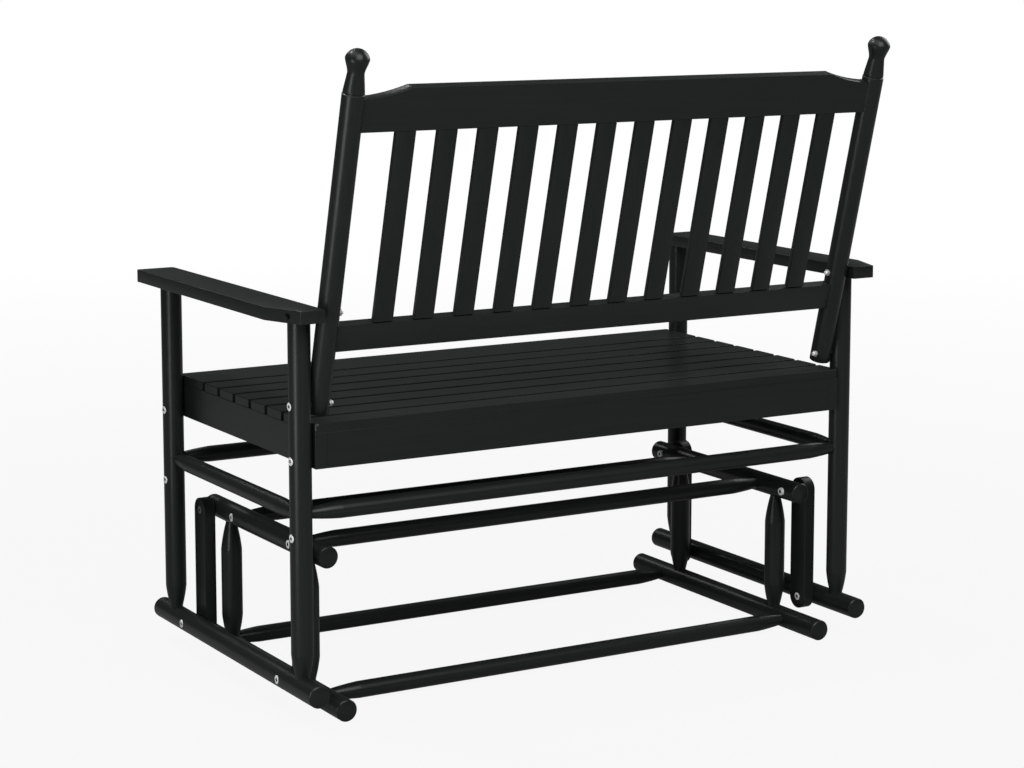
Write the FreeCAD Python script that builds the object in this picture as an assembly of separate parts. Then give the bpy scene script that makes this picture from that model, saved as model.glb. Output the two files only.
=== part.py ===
import FreeCAD, Part
import math
import os

# Glider bench in millimetres. +Z is up, the front looks towards -Y, and left is +X, the sitter's left.
# The floor is z = 0 and y = 0 lies midway between the front and rear legs until the last step.

V = FreeCAD.Vector
east = V(1, 0, 0)
north = V(0, 1, 0)
up = V(0, 0, 1)
origin = V(0, 0, 0)
through = "through"

# Stock
bar_r = 16.25
slim_r = 12.6
board = 19.0
slat_board = 13.0
end_chamfer = 2.0
eased = 0.8

# Fits inside one body, and the running fit of a pivot
fit = 0.05
run = 0.05
side_play = 0.2
head_room = 0.3

# Flat sides of sockets and heads, and of shanks
socket_sides = 12
shank_sides = 6

# Tapered ends of turned members, which stand in blind sockets
taper_bulge = 0.61
foot_tip_r = 10.2
foot_taper = 33.5
top_tip_r = 8.4
top_taper = 42.0
slim_tip_r = 8.2
slim_taper = 45.0
tenon = 8.0
arm_tenon = 12.0
arm_tenon_r = 8.0

# Legs and the plane that boards, posts and armrests share with them
leg_x = 476.0
leg_y = 230.0
side_x = leg_x - bar_r
leg_out_x = leg_x + bar_r
arm_z = 582.5

# Moving runners under the legs
runner_z = 50.65
runner_half = 285.75

# Base
base_x = 421.3
base_in_x = base_x - bar_r
base_out_x = base_x + bar_r
base_runner_half = 261.5
rail_z = 228.5
rail_half = 205.0
base_post_y = 136.75
upper_bar_y = 101.5
lower_bar_y = 175.0

# Swing links
pivot_y = 175.0
link_thick = 19.0
link_r = 19.0
link_mid_x = (base_out_x + side_x) / 2
link_in_x = link_mid_x - link_thick / 2
link_out_x = link_mid_x + link_thick / 2

# Stretchers
stretcher_z = 303.8

# Seat
seat_z = 434.25
seat_under_z = seat_z - slat_board
apron_low_z = 369.0
seat_half = leg_y + bar_r
seat_board = 47.5
seat_count = 9
nose_r = 5.0
corner_r = 5.0

# Back, in its own leaning frame: x across, n rearward, s up along the posts
lean = 15.0
back_y = 216.1
post_x = side_x - bar_r
post_foot_s = 13.0
groove_low_s = 485.0
groove_high_s = 487.0
groove_r = 14.6
above_groove_r = 15.4
neck_s = 513.6
neck_r = 11.9
knob_low_s = 522.5
knob_low_r = 15.6
knob_s = 534.3
knob_r = 17.2
knob_top_s = 548.1
rail_housing = 6.25
bottom_rail_low_s = 106.7
bottom_rail_high_s = 146.0
top_rail_low_s = 431.0
top_rail_high_s = 493.0
shoulder_x = 357.5
shoulder_mid_x = 387.0
shoulder_mid_s = 484.1
shoulder_end_x = 425.0
shoulder_end_s = 478.0
slat_count = 12
slat_pitch = 65.5
slat_wide = 31.0
slat_thick = 8.0
slat_seam = 0.6
tongue_wide = 27.0
tongue_thick = 5.0
tongue_long = 8.0

# Armrests
arm_out_x = 522.0
arm_front_y = -258.0
arm_rear_y = 282.6
arm_taper_y = 214.0
arm_rear_x = 498.0
arm_corner_r = 6.0

# Fasteners
head_r = 6.3
head_thick = 2.0
head_sink = 0.3
cap_thick = 4.0
arm_head_r = 4.2
shaft_r = 3.0
barrel_r = 5.0
nut_r = 5.0
nut_thick = 4.0
tip_out = 2.5
leg_screw_z = 381.0
leg_screw_bite = 15.0
low_screw_z = 270.0
low_screw_long = 25.0
rail_screw_bite = 22.0
foot_bolt_y = 228.0
foot_bolt_z = 459.0
foot_nut_x = 429.8
thread_in_sleeve = 12.0
over = 6.0


def sag(r):
    return bar_r - math.sqrt(bar_r * bar_r - r * r)


# The outline runs from the axis out and back to it; a point marked through bends the next edge
def turned(points):
    edges = []
    here = V(points[-1][0], 0, points[-1][1])
    via = None
    for point in points:
        there = V(point[0], 0, point[1])
        if through in point:
            via = there
            continue
        edges.append(Part.Arc(here, via, there).toShape() if via else Part.makeLine(here, there))
        here = there
        via = None
    return Part.Face(Part.Wire(edges)).revolve(origin, up, 360)


# An end is its outline from the full radius inwards: the radius, and how far along
def square_end(chamfer):
    return [(bar_r, chamfer), (bar_r - chamfer, 0), (0, 0)]


def taper_end(r, taper, tip_r):
    mid_r = tip_r + (r - tip_r) * taper_bulge
    return [(r, taper), (mid_r, taper / 2, through), (tip_r, 0), (tip_r, -tenon), (0, -tenon)]


def rod(length, low, high):
    points = list(reversed(low))
    for point in high:
        points.append((point[0], length - point[1]) + tuple(point[2:]))
    return turned(points)


def put(shape, at, along):
    shape.Placement = FreeCAD.Placement(at, FreeCAD.Rotation(up, along))
    return shape


def drill(mouth, inward, r, deep):
    return Part.makeCylinder(r, deep + over, mouth - inward * over, inward)


def box(x0, x1, y0, y1, z0, z1):
    return Part.makeBox(x1 - x0, y1 - y0, z1 - z0, V(x0, y0, z0))


def cut(shape, tools):
    for tool in tools:
        shape = shape.cut(tool)
    return shape.Solids[0] if len(shape.Solids) == 1 else shape


def flip_x(shape):
    return shape.mirror(origin, east)


# A straight prism along z whose flat sides lie at radius r
def prism(sides, r, low_z, high_z):
    corner = r / math.cos(math.pi / sides)
    points = []
    for k in range(sides + 1):
        turn = 2 * math.pi * k / sides
        points.append(V(corner * math.cos(turn), corner * math.sin(turn), low_z))
    return Part.Face(Part.makePolygon(points)).extrude(up * (high_z - low_z))


def socket(mouth, inward, r, deep):
    return put(prism(socket_sides, r, -over, deep), mouth, inward)


def shank_hole(mouth, inward, deep):
    return put(prism(shank_sides, shaft_r + fit, -over, deep), mouth, inward)


# Local z = 0 is the underside of the head and the shank runs up +z
def bolt(long, r=head_r, thick=head_thick):
    return prism(socket_sides, r, -thick, 0).fuse(prism(shank_sides, shaft_r, 0, long))


def sleeve(long):
    body = prism(socket_sides, head_r, -head_thick, 0).fuse(Part.makeCylinder(barrel_r, long))
    return body.cut(prism(shank_sides, shaft_r + fit, long - thread_in_sleeve, long))


def nut():
    return prism(shank_sides, nut_r, 0, nut_thick).cut(prism(shank_sides, shaft_r + fit, 0, nut_thick))


pieces = {}


def both_sides(name, shape):
    pieces[name + "_left"] = shape
    pieces[name + "_right"] = flip_x(shape)


def group(name, shapes):
    solids = []
    for shape in shapes:
        solids.append(shape)
        solids.append(flip_x(shape))
    pieces[name] = Part.makeCompound(solids)


ends = (("front", -1), ("rear", 1))
head_seat = head_sink + head_thick
cap_seat = sag(head_r)
barrel_seat = sag(barrel_r)
sleeve_seat = head_thick + side_play
sleeve_long = barrel_seat + (link_out_x - base_out_x) - head_thick

# Base runners, lower and upper crossbars, posts and rails
runner_cuts = []
rail_cuts = []
for end, way in ends:
    runner_cuts.append(socket(V(base_x, way * base_post_y, 2 * bar_r), -up, foot_tip_r + fit, tenon))
    runner_cuts.append(socket(V(base_in_x, way * lower_bar_y, bar_r), east, slim_tip_r + fit, tenon))
    rail_cuts.append(socket(V(base_x, way * base_post_y, rail_z - bar_r), up, top_tip_r + fit, tenon))
    rail_cuts.append(socket(V(base_in_x, way * upper_bar_y, rail_z), east, slim_tip_r + fit, tenon))
    screw_mouth = V(base_out_x, way * upper_bar_y, rail_z)
    rail_cuts.append(socket(screw_mouth, -east, head_r + head_room, head_seat))
    rail_cuts.append(shank_hole(screw_mouth, -east, 2 * bar_r - tenon))
    pivot_mouth = V(base_out_x, way * pivot_y, rail_z)
    rail_cuts.append(socket(pivot_mouth, -east, barrel_r + head_room, barrel_seat))
    rail_cuts.append(shank_hole(pivot_mouth, -east, 2 * bar_r))
    rail_cuts.append(socket(V(base_in_x, way * pivot_y, rail_z), east, head_r + head_room, cap_seat))

plain = square_end(end_chamfer)
base_runner = put(rod(2 * base_runner_half, plain, plain), V(base_x, -base_runner_half, bar_r), north)
both_sides("base_runner", cut(base_runner, runner_cuts))
base_rail = put(rod(2 * rail_half, plain, plain), V(base_x, -rail_half, rail_z), north)
both_sides("base_rail", cut(base_rail, rail_cuts))

base_post_long = rail_z - 3 * bar_r
base_post_foot = taper_end(bar_r, foot_taper, foot_tip_r)
base_post_top = taper_end(bar_r, top_taper, top_tip_r)
slim_end = taper_end(slim_r, slim_taper, slim_tip_r)
base_posts = []
for end, way in ends:
    post = rod(base_post_long, base_post_foot, base_post_top)
    base_posts.append(put(post, V(base_x, way * base_post_y, 2 * bar_r), up))
    low_bar = put(rod(2 * base_in_x, slim_end, slim_end), V(-base_in_x, way * lower_bar_y, bar_r), east)
    pieces["base_lower_crossbar_" + end] = low_bar
    high_bar = put(rod(2 * base_in_x, slim_end, slim_end), V(-base_in_x, way * upper_bar_y, rail_z), east)
    bite = shank_hole(V(base_in_x + tenon, way * upper_bar_y, rail_z), -east, rail_screw_bite)
    pieces["base_upper_crossbar_" + end] = cut(high_bar, [bite, flip_x(bite)])
group("base_posts", base_posts)

# Pivot hardware hangs the links from the rails, with proud heads, and the moving runners from the links
rail_screw_long = 2 * bar_r - head_seat - tenon + rail_screw_bite
rail_screws = []
sets = {"rail_pivot": (cap_seat, cap_thick, []), "runner_pivot": (head_seat, head_thick, [])}
for end, way in ends:
    rail_screw_at = V(base_out_x - head_seat, way * upper_bar_y, rail_z)
    rail_screws.append(put(bolt(rail_screw_long), rail_screw_at, -east))
    sets["rail_pivot"][-1].append((V(base_in_x, way * pivot_y, rail_z), east))
    sets["runner_pivot"][-1].append((V(leg_out_x, way * pivot_y, runner_z), -east))
group("rail_screws", rail_screws)
for name in sets:
    bolts = []
    sleeves = []
    seat, thick, places = sets[name]
    pivot_bolt_long = 2 * bar_r - seat - barrel_seat + thread_in_sleeve
    for at, along in places:
        bolts.append(put(bolt(pivot_bolt_long, head_r, thick), at + along * seat, along))
        sleeve_at = at + along * (2 * bar_r - barrel_seat + sleeve_long)
        sleeves.append(put(sleeve(sleeve_long), sleeve_at, -along))
    group(name + "_bolts", bolts)
    group(name + "_sleeves", sleeves)

# Swing links
for end, way in ends:
    y = way * pivot_y
    high_left = V(link_in_x, y - link_r, rail_z)
    high_right = V(link_in_x, y + link_r, rail_z)
    low_left = V(link_in_x, y - link_r, runner_z)
    low_right = V(link_in_x, y + link_r, runner_z)
    outline = [
        Part.Arc(high_left, V(link_in_x, y, rail_z + link_r), high_right).toShape(),
        Part.makeLine(high_right, low_right),
        Part.Arc(low_right, V(link_in_x, y, runner_z - link_r), low_left).toShape(),
        Part.makeLine(low_left, high_left)]
    link = Part.Face(Part.Wire(outline)).extrude(east * link_thick)
    rims = [edge for edge in link.Edges if edge.BoundBox.XLength < fit]
    link = link.makeChamfer(eased, rims)
    both_sides("link_" + end, cut(link, [
        drill(V(link_in_x, y, rail_z), east, barrel_r + run, link_thick),
        drill(V(link_in_x, y, runner_z), east, barrel_r + run, link_thick),
        socket(V(link_out_x, y, rail_z), -east, head_r + head_room, sleeve_seat),
        socket(V(link_in_x, y, runner_z), east, head_r + head_room, sleeve_seat)]))

# Moving runners and legs
runner_cuts = []
for end, way in ends:
    runner_cuts.append(socket(V(leg_x, way * leg_y, runner_z + bar_r), -up, foot_tip_r + fit, tenon))
    pivot_mouth = V(leg_out_x, way * pivot_y, runner_z)
    runner_cuts.append(socket(pivot_mouth, -east, head_r + head_room, head_seat))
    runner_cuts.append(shank_hole(pivot_mouth, -east, 2 * bar_r))
    runner_cuts.append(socket(V(side_x, way * pivot_y, runner_z), east, barrel_r + head_room, barrel_seat))
runner = put(rod(2 * runner_half, plain, plain), V(leg_x, -runner_half, runner_z), north)
both_sides("chair_runner", cut(runner, runner_cuts))

leg_foot_z = runner_z + bar_r
leg_long = arm_z - leg_foot_z
leg_foot = taper_end(bar_r, foot_taper, foot_tip_r)
leg_screws = []
low_screws = []
for end, way in ends:
    leg = rod(leg_long, leg_foot, [(bar_r, 0), (0, 0)])
    leg = leg.fuse(prism(socket_sides, arm_tenon_r, leg_long, leg_long + arm_tenon))
    leg = put(leg, V(leg_x, way * leg_y, leg_foot_z), up)
    leg_cuts = [
        socket(V(leg_x, way * (leg_y - bar_r), stretcher_z), north * way, slim_tip_r + fit, tenon),
        socket(V(side_x, way * leg_y, stretcher_z), east, slim_tip_r + fit, tenon),
        shank_hole(V(leg_out_x, way * leg_y, leg_screw_z), -east, 2 * bar_r)]
    for z in (leg_screw_z, low_screw_z):
        leg_cuts.append(socket(V(leg_out_x, way * leg_y, z), -east, head_r + head_room, head_seat))
    low_at = V(leg_out_x - head_seat, way * leg_y, low_screw_z)
    leg_cuts.append(shank_hole(low_at, -east, low_screw_long))
    if end == "rear":
        leg_cuts.append(socket(V(leg_out_x, foot_bolt_y, foot_bolt_z), -east, head_r + head_room, head_seat))
        leg_cuts.append(shank_hole(V(leg_out_x, foot_bolt_y, foot_bolt_z), -east, 2 * bar_r))
    both_sides("leg_" + end, cut(leg, leg_cuts))
    screw_at = V(leg_out_x - head_seat, way * leg_y, leg_screw_z)
    leg_screws.append(put(bolt(2 * bar_r - head_seat + leg_screw_bite), screw_at, -east))
    low_screws.append(put(bolt(low_screw_long), low_at, -east))
group("leg_screws", leg_screws)
group("leg_low_screws", low_screws)

# Stretchers between the legs
side_long = 2 * (leg_y - bar_r)
side_bar = put(rod(side_long, slim_end, slim_end), V(leg_x, -side_long / 2, stretcher_z), north)
both_sides("side_stretcher", side_bar)
for end, way in ends:
    cross = rod(2 * side_x, slim_end, slim_end)
    pieces["cross_stretcher_" + end] = put(cross, V(-side_x, way * leg_y, stretcher_z), east)

# Seat frame: the side boards run through, the aprons stand between them
side_in_x = side_x - board
side_board = box(side_in_x, side_x, -seat_half, seat_half, apron_low_z, seat_under_z)
bites = []
for end, way in ends:
    bites.append(shank_hole(V(side_x, way * leg_y, leg_screw_z), -east, leg_screw_bite))
both_sides("seat_side_board", cut(side_board, bites))
pieces["seat_apron_front"] = box(-side_in_x, side_in_x, -seat_half, board - seat_half, apron_low_z, seat_under_z)
pieces["seat_apron_rear"] = box(-side_in_x, side_in_x, seat_half - board, seat_half, apron_low_z, seat_under_z)


def at_height(shape, z):
    found = []
    for edge in shape.Edges:
        if abs(edge.BoundBox.ZMin - z) < fit and abs(edge.BoundBox.ZMax - z) < fit:
            found.append(edge)
    return found


# Seat boards: the first two touch, the rest stand one even gap apart
seat_gap = (2 * seat_half - seat_count * seat_board) / (seat_count - 2)
y = -seat_half
for k in range(seat_count):
    plank = box(-side_x, side_x, y, y + seat_board, seat_under_z, seat_z)
    if k == 0:
        nose = [edge for edge in at_height(plank, seat_z) if edge.BoundBox.YMax < y + fit]
        plank = plank.makeFillet(nose_r, nose)
    elif k == seat_count - 1:
        corners = []
        for edge in plank.Edges:
            if edge.BoundBox.ZLength > fit and edge.BoundBox.YMin > y + fit:
                corners.append(edge)
        plank = plank.makeFillet(corner_r, corners)
        plank = plank.makeChamfer(eased, at_height(plank, seat_z))
    else:
        plank = plank.makeChamfer(eased, at_height(plank, seat_z))
    name = "seat_nosing" if k == 0 else "seat_slat_%d" % k
    pieces[name] = plank
    y = y + seat_board + (0.0 if k == 0 else seat_gap)


# The back is drawn upright in x, n, s and then leaned and lifted into place
def lean_back(shape):
    shape = shape.copy()
    shape.rotate(origin, east, -lean)
    shape.translate(V(0, back_y, seat_z))
    return shape


end_x = post_x - bar_r + rail_housing
bottom_rail = box(-end_x, end_x, -board / 2, board / 2, bottom_rail_low_s, bottom_rail_high_s)

half_face = [
    Part.makeLine(V(0, 0, top_rail_low_s), V(0, 0, top_rail_high_s)),
    Part.makeLine(V(0, 0, top_rail_high_s), V(shoulder_x, 0, top_rail_high_s)),
    Part.Arc(V(shoulder_x, 0, top_rail_high_s), V(shoulder_mid_x, 0, shoulder_mid_s),
             V(shoulder_end_x, 0, shoulder_end_s)).toShape(),
    Part.makeLine(V(shoulder_end_x, 0, shoulder_end_s), V(end_x, 0, shoulder_end_s)),
    Part.makeLine(V(end_x, 0, shoulder_end_s), V(end_x, 0, top_rail_low_s)),
    Part.makeLine(V(end_x, 0, top_rail_low_s), V(0, 0, top_rail_low_s))]
half_rail = Part.Face(Part.Wire(half_face)).extrude(north * board)
half_rail.translate(V(0, -board / 2, 0))
top_rail = half_rail.fuse(flip_x(half_rail)).removeSplitter()

slat_rear = board / 2
slat_mid = slat_rear - slat_thick / 2
slats = []
mortises = []
for k in range(slat_count):
    x = (k - (slat_count - 1) / 2) * slat_pitch
    body = box(x - slat_wide / 2, x + slat_wide / 2, slat_rear - slat_thick, slat_rear,
               bottom_rail_high_s + slat_seam, top_rail_low_s - slat_seam / 2)
    tongue = box(x - tongue_wide / 2, x + tongue_wide / 2, slat_mid - tongue_thick / 2, slat_mid + tongue_thick / 2,
                 bottom_rail_high_s - tongue_long, top_rail_low_s + tongue_long)
    slats.append(lean_back(body.fuse(tongue).removeSplitter()))
    mortises.append(box(x - tongue_wide / 2 - fit, x + tongue_wide / 2 + fit,
                        slat_mid - tongue_thick / 2 - fit, slat_mid + tongue_thick / 2 + fit,
                        bottom_rail_high_s - tongue_long, top_rail_low_s + tongue_long))
pieces["back_slats"] = Part.makeCompound(slats)
pieces["back_bottom_rail"] = lean_back(cut(bottom_rail, mortises))
pieces["back_top_rail"] = lean_back(cut(top_rail, mortises))

# The knob closes in a part of a ball round its own axis
knob_rise = knob_top_s - knob_s
dome_r = (knob_r ** 2 + knob_rise ** 2) / (2 * knob_rise)
dome_s = knob_top_s - dome_r
half_turn = math.asin(knob_r / dome_r) / 2
outline = [
    (0, post_foot_s),
    (bar_r, post_foot_s),
    (bar_r, groove_low_s),
    (groove_r, groove_low_s),
    (groove_r, groove_high_s),
    (above_groove_r, groove_high_s),
    (neck_r, neck_s),
    (knob_low_r, knob_low_s, through),
    (knob_r, knob_s),
    (dome_r * math.sin(half_turn), dome_s + dome_r * math.cos(half_turn), through),
    (0, knob_top_s)]
post = turned(outline)
post.translate(V(post_x, 0, 0))
post = cut(post, [
    box(0, end_x, -board / 2 - fit, board / 2 + fit, bottom_rail_low_s - fit, bottom_rail_high_s + fit),
    box(0, end_x, -board / 2 - fit, board / 2 + fit, top_rail_low_s - fit, shoulder_end_s + fit)])
post = lean_back(post)

# Bolts that hold the posts to the rear legs and to the armrests
slope = math.tan(math.radians(lean))
arm_mid_z = arm_z + board / 2
arm_bolt_y = back_y + (arm_mid_z - seat_z) * slope
nut_corner_r = nut_r / math.cos(math.pi / shank_sides)
arm_nut_x = post_x - bar_r + sag(nut_r)
foot_head_x = leg_out_x - head_seat
post_bolt_long = foot_head_x - foot_nut_x + nut_thick + tip_out
arm_head_x = arm_nut_x - nut_thick - tip_out + post_bolt_long
nuts = []
post_cuts = []
for name, r, head_x, nut_x, y, z in (("foot_bolts", head_r, foot_head_x, foot_nut_x, foot_bolt_y, foot_bolt_z),
                                     ("arm_bolts", arm_head_r, arm_head_x, arm_nut_x, arm_bolt_y, arm_mid_z)):
    group(name, [put(bolt(post_bolt_long, r), V(head_x, y, z), -east)])
    nuts.append(put(nut(), V(nut_x, y, z), -east))
    post_cuts.append(shank_hole(V(side_x, y, z), -east, 2 * bar_r))
    post_cuts.append(put(prism(socket_sides, nut_corner_r + head_room, 0, bar_r), V(nut_x, y, z), -east))
both_sides("back_post", cut(post, post_cuts))
group("post_nuts", nuts)

# Armrests
corner_points = [
    V(side_x, arm_front_y, arm_z),
    V(arm_out_x, arm_front_y, arm_z),
    V(arm_out_x, arm_taper_y, arm_z),
    V(arm_rear_x, arm_rear_y, arm_z),
    V(side_x, arm_rear_y, arm_z),
    V(side_x, arm_front_y, arm_z)]
arm = Part.Face(Part.makePolygon(corner_points)).extrude(up * board)
fronts = []
for edge in arm.Edges:
    if edge.BoundBox.ZLength > fit and edge.BoundBox.YMax < arm_front_y + fit:
        fronts.append(edge)
arm = arm.makeFillet(arm_corner_r, fronts)
arm = arm.makeChamfer(eased, at_height(arm, arm_z + board) + at_height(arm, arm_z))
arm_cuts = []
for end, way in ends:
    arm_cuts.append(socket(V(leg_x, way * leg_y, arm_z), up, arm_tenon_r + fit, arm_tenon))
arm_head_at = V(arm_head_x, arm_bolt_y, arm_mid_z)
arm_cuts.append(put(prism(socket_sides, arm_head_r + head_room, 0, arm_out_x - arm_head_x), arm_head_at, east))
arm_cuts.append(shank_hole(arm_head_at, -east, arm_head_x - side_x + over))
both_sides("armrest", cut(arm, arm_cuts))

# The row's frame: the middle of the footprint, on the floor
tilt = math.radians(lean)
knob_rear_y = back_y + dome_s * math.sin(tilt) + dome_r
centre_y = (knob_rear_y - runner_half) / 2
os.makedirs("parts", exist_ok=True)
for name in sorted(pieces):
    shape = pieces[name].copy()
    shape.translate(V(0, -centre_y, 0))
    shape.exportStep("parts/%s.step" % name)
print("pieces", len(pieces), "shift", round(-centre_y, 3))
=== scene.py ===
import math
import bpy
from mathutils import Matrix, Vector


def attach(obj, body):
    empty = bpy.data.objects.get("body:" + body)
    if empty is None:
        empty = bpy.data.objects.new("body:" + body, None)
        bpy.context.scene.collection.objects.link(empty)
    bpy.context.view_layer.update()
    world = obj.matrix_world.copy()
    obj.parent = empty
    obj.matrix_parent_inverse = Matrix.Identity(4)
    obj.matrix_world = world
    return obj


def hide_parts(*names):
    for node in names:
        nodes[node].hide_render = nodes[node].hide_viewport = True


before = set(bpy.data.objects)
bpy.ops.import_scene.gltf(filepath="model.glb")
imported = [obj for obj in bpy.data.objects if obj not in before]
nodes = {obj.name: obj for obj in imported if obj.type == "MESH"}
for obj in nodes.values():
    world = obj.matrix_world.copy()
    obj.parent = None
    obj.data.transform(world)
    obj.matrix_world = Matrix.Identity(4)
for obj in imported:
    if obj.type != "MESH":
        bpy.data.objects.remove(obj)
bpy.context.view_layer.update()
print("glider bench: packed frame loaded,", len(nodes), "nodes")


def clearSelection():
    if bpy.context.mode != "OBJECT":
        bpy.ops.object.mode_set(mode="OBJECT")
    bpy.ops.object.select_all(action="DESELECT")
    bpy.context.view_layer.objects.active = None


def pick(piece):
    clearSelection()
    piece.select_set(True)
    bpy.context.view_layer.objects.active = piece


def settle(piece):
    # the place goes into the mesh, the object stays at the origin
    pick(piece)
    bpy.ops.object.transform_apply(location=True, rotation=True, scale=True)


def finishModifier(piece, kind, **settings):
    pick(piece)
    modifier = piece.modifiers.new(kind.title(), kind)
    for key, value in settings.items():
        setattr(modifier, key, value)
    bpy.ops.object.modifier_apply(modifier=modifier.name)


def easeEdges(piece, width, segments=3, angle=50):
    limit = math.radians(angle)
    finishModifier(piece, "BEVEL", width=width, segments=segments, limit_method="ANGLE", angle_limit=limit)


def cutAway(piece, tool):
    finishModifier(piece, "BOOLEAN", operation="DIFFERENCE", solver="EXACT", object=tool)
    bpy.data.objects.remove(tool, do_unlink=True)


def tidyNormals(piece, angle=32, merge=0.000002):
    pick(piece)
    bpy.ops.object.mode_set(mode="EDIT")
    bpy.ops.mesh.select_all(action="SELECT")
    bpy.ops.mesh.remove_doubles(threshold=merge)
    bpy.ops.mesh.normals_make_consistent(inside=False)
    bpy.ops.object.mode_set(mode="OBJECT")
    bpy.ops.object.shade_smooth_by_angle(angle=math.radians(angle))


def copyOf(piece, name):
    twin = piece.copy()
    twin.data = piece.data.copy()
    twin.name = name
    twin.data.name = name
    bpy.context.scene.collection.objects.link(twin)
    return twin


def mirrored(piece, name):
    twin = copyOf(piece, name)
    twin.scale = (-1, 1, 1)
    settle(twin)
    tidyNormals(twin)
    return twin


def joined(name, parts):
    clearSelection()
    for part in parts:
        part.select_set(True)
    bpy.context.view_layer.objects.active = parts[0]
    bpy.ops.object.join()
    whole = bpy.context.view_layer.objects.active
    whole.name = name
    whole.data.name = name
    settle(whole)
    return whole


def place(piece, at, along):
    # local +Z turns to look along the given direction
    piece.rotation_mode = "QUATERNION"
    piece.rotation_quaternion = Vector((0, 0, 1)).rotation_difference(Vector(along))
    piece.location = at
    settle(piece)
    return piece


def moveTo(piece, at):
    piece.location = at
    settle(piece)
    return piece


def chooseEdges(piece, wanted):
    # edges whose both ends pass the test
    bpy.ops.object.mode_set(mode="EDIT")
    bpy.ops.mesh.select_mode(type="EDGE")
    bpy.ops.mesh.select_all(action="DESELECT")
    bpy.ops.object.mode_set(mode="OBJECT")
    spots = piece.data.vertices
    for edge in piece.data.edges:
        a, b = (spots[k].co for k in edge.vertices)
        edge.select = wanted(a) and wanted(b)
    bpy.ops.object.mode_set(mode="EDIT")
    bpy.ops.mesh.select_mode(type="EDGE")


def chooseFaces(piece, wanted):
    # faces whose middle passes the test
    bpy.ops.object.mode_set(mode="EDIT")
    bpy.ops.mesh.select_mode(type="FACE")
    bpy.ops.mesh.select_all(action="DESELECT")
    bpy.ops.object.mode_set(mode="OBJECT")
    for face in piece.data.polygons:
        face.select = bool(wanted(face.center))
    bpy.ops.object.mode_set(mode="EDIT")


def drawOut(way):
    bpy.ops.mesh.extrude_region_move(TRANSFORM_OT_translate={"value": way})


def turnedBar(name, outline, sides=72, creases=(), same=1e-7, near=1e-5):
    # a disc is drawn out ring by ring along +Z; the outline is (height, radius)
    clearSelection()
    low, firstRadius = outline[0]
    bpy.ops.mesh.primitive_circle_add(
        vertices=sides, radius=firstRadius, fill_type="NGON", location=(0, 0, low))
    piece = bpy.context.object
    piece.name = name
    piece.data.name = name
    settle(piece)
    bpy.ops.object.mode_set(mode="EDIT")
    bpy.ops.mesh.select_all(action="SELECT")
    here, radius = low, firstRadius
    for height, nextRadius in outline[1:]:
        drawOut((0, 0, height - here))
        if abs(nextRadius - radius) > same:
            grow = nextRadius / radius
            bpy.ops.transform.resize(value=(grow, grow, 1), center_override=(0, 0, height))
        here, radius = height, nextRadius
    bpy.ops.object.mode_set(mode="OBJECT")
    tidyNormals(piece)
    for height in creases:
        # the ring where a taper meets the full round stays a crisp line
        chooseEdges(piece, lambda co: abs(co.z - height) < near)
        bpy.ops.mesh.mark_sharp()
        bpy.ops.object.mode_set(mode="OBJECT")
    return piece


def bore(piece, mouth, inward, radius, depth, sides=40, lead=0.006):
    # a round hole or counterbore, cut from a little outside the mouth
    clearSelection()
    middle = (0, 0, (depth - lead) / 2)
    bpy.ops.mesh.primitive_cylinder_add(vertices=sides, radius=radius, depth=depth + lead, location=middle)
    tool = bpy.context.object
    settle(tool)
    place(tool, mouth, inward)
    cutAway(piece, tool)


def plank(name, low, high):
    # a sawn board between two corners
    clearSelection()
    middle = [(a + b) / 2 for a, b in zip(low, high)]
    reach = [b - a for a, b in zip(low, high)]
    bpy.ops.mesh.primitive_cube_add(size=1, location=middle, scale=reach)
    board = bpy.context.object
    board.name = board.data.name = name
    settle(board)
    return board


# stock that many pieces are made from
stock = {"barRadius": 0.01625, "slimRadius": 0.0126, "tenon": 0.008, "yShift": -0.042634,
         "softEdge": 0.0006}
bar, slim, tenon = stock["barRadius"], stock["slimRadius"], stock["tenon"]
shift = stock["yShift"]
taperLook = {"swell": 0.44, "steps": 9}
squareLook = {"chamfer": 0.002, "partWay": 0.35, "partIn": 0.42}


def squareEnd(radius):
    # a sawn end with a small rounded edge
    chamfer = squareLook["chamfer"]
    rounding = (chamfer * squareLook["partWay"], radius - chamfer * squareLook["partIn"])
    return [(0, radius - chamfer), rounding, (chamfer, radius)]


def pointedEnd(full, tip, long):
    # the curved point of a turned post, with its tenon
    swell, steps = taperLook["swell"], taperLook["steps"]
    outline = [(-tenon, tip)]
    for k in range(steps + 1):
        part = k / steps
        outline.append((long * k / steps, tip + (full - tip) * ((1 + swell) * part - swell * part ** 2)))
    return outline


def withRings(outline, heights, clear=0.0005, same=1e-6):
    # extra rings near the places that get bored, so that the cuts stay in short faces
    found = list(outline)
    for height in heights:
        for (z0, r0), (z1, r1) in zip(outline, outline[1:]):
            if z0 + clear < height < z1 - clear and abs(r0 - r1) < same:
                found.append((height, r0))
    return sorted(found, key=lambda step: step[0])


def around(heights, reach=0.011):
    return [height + side * reach for height in heights for side in (-1, 1)]


def barOutline(long, lowEnd, highEnd, rings=()):
    outline = list(lowEnd) + [(long - z, r) for z, r in reversed(highEnd)]
    return withRings(outline, rings)


def sag(radius):
    # how far the round of a bar falls off at this distance from its crown
    return bar - math.sqrt(bar * bar - radius * radius)


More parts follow.
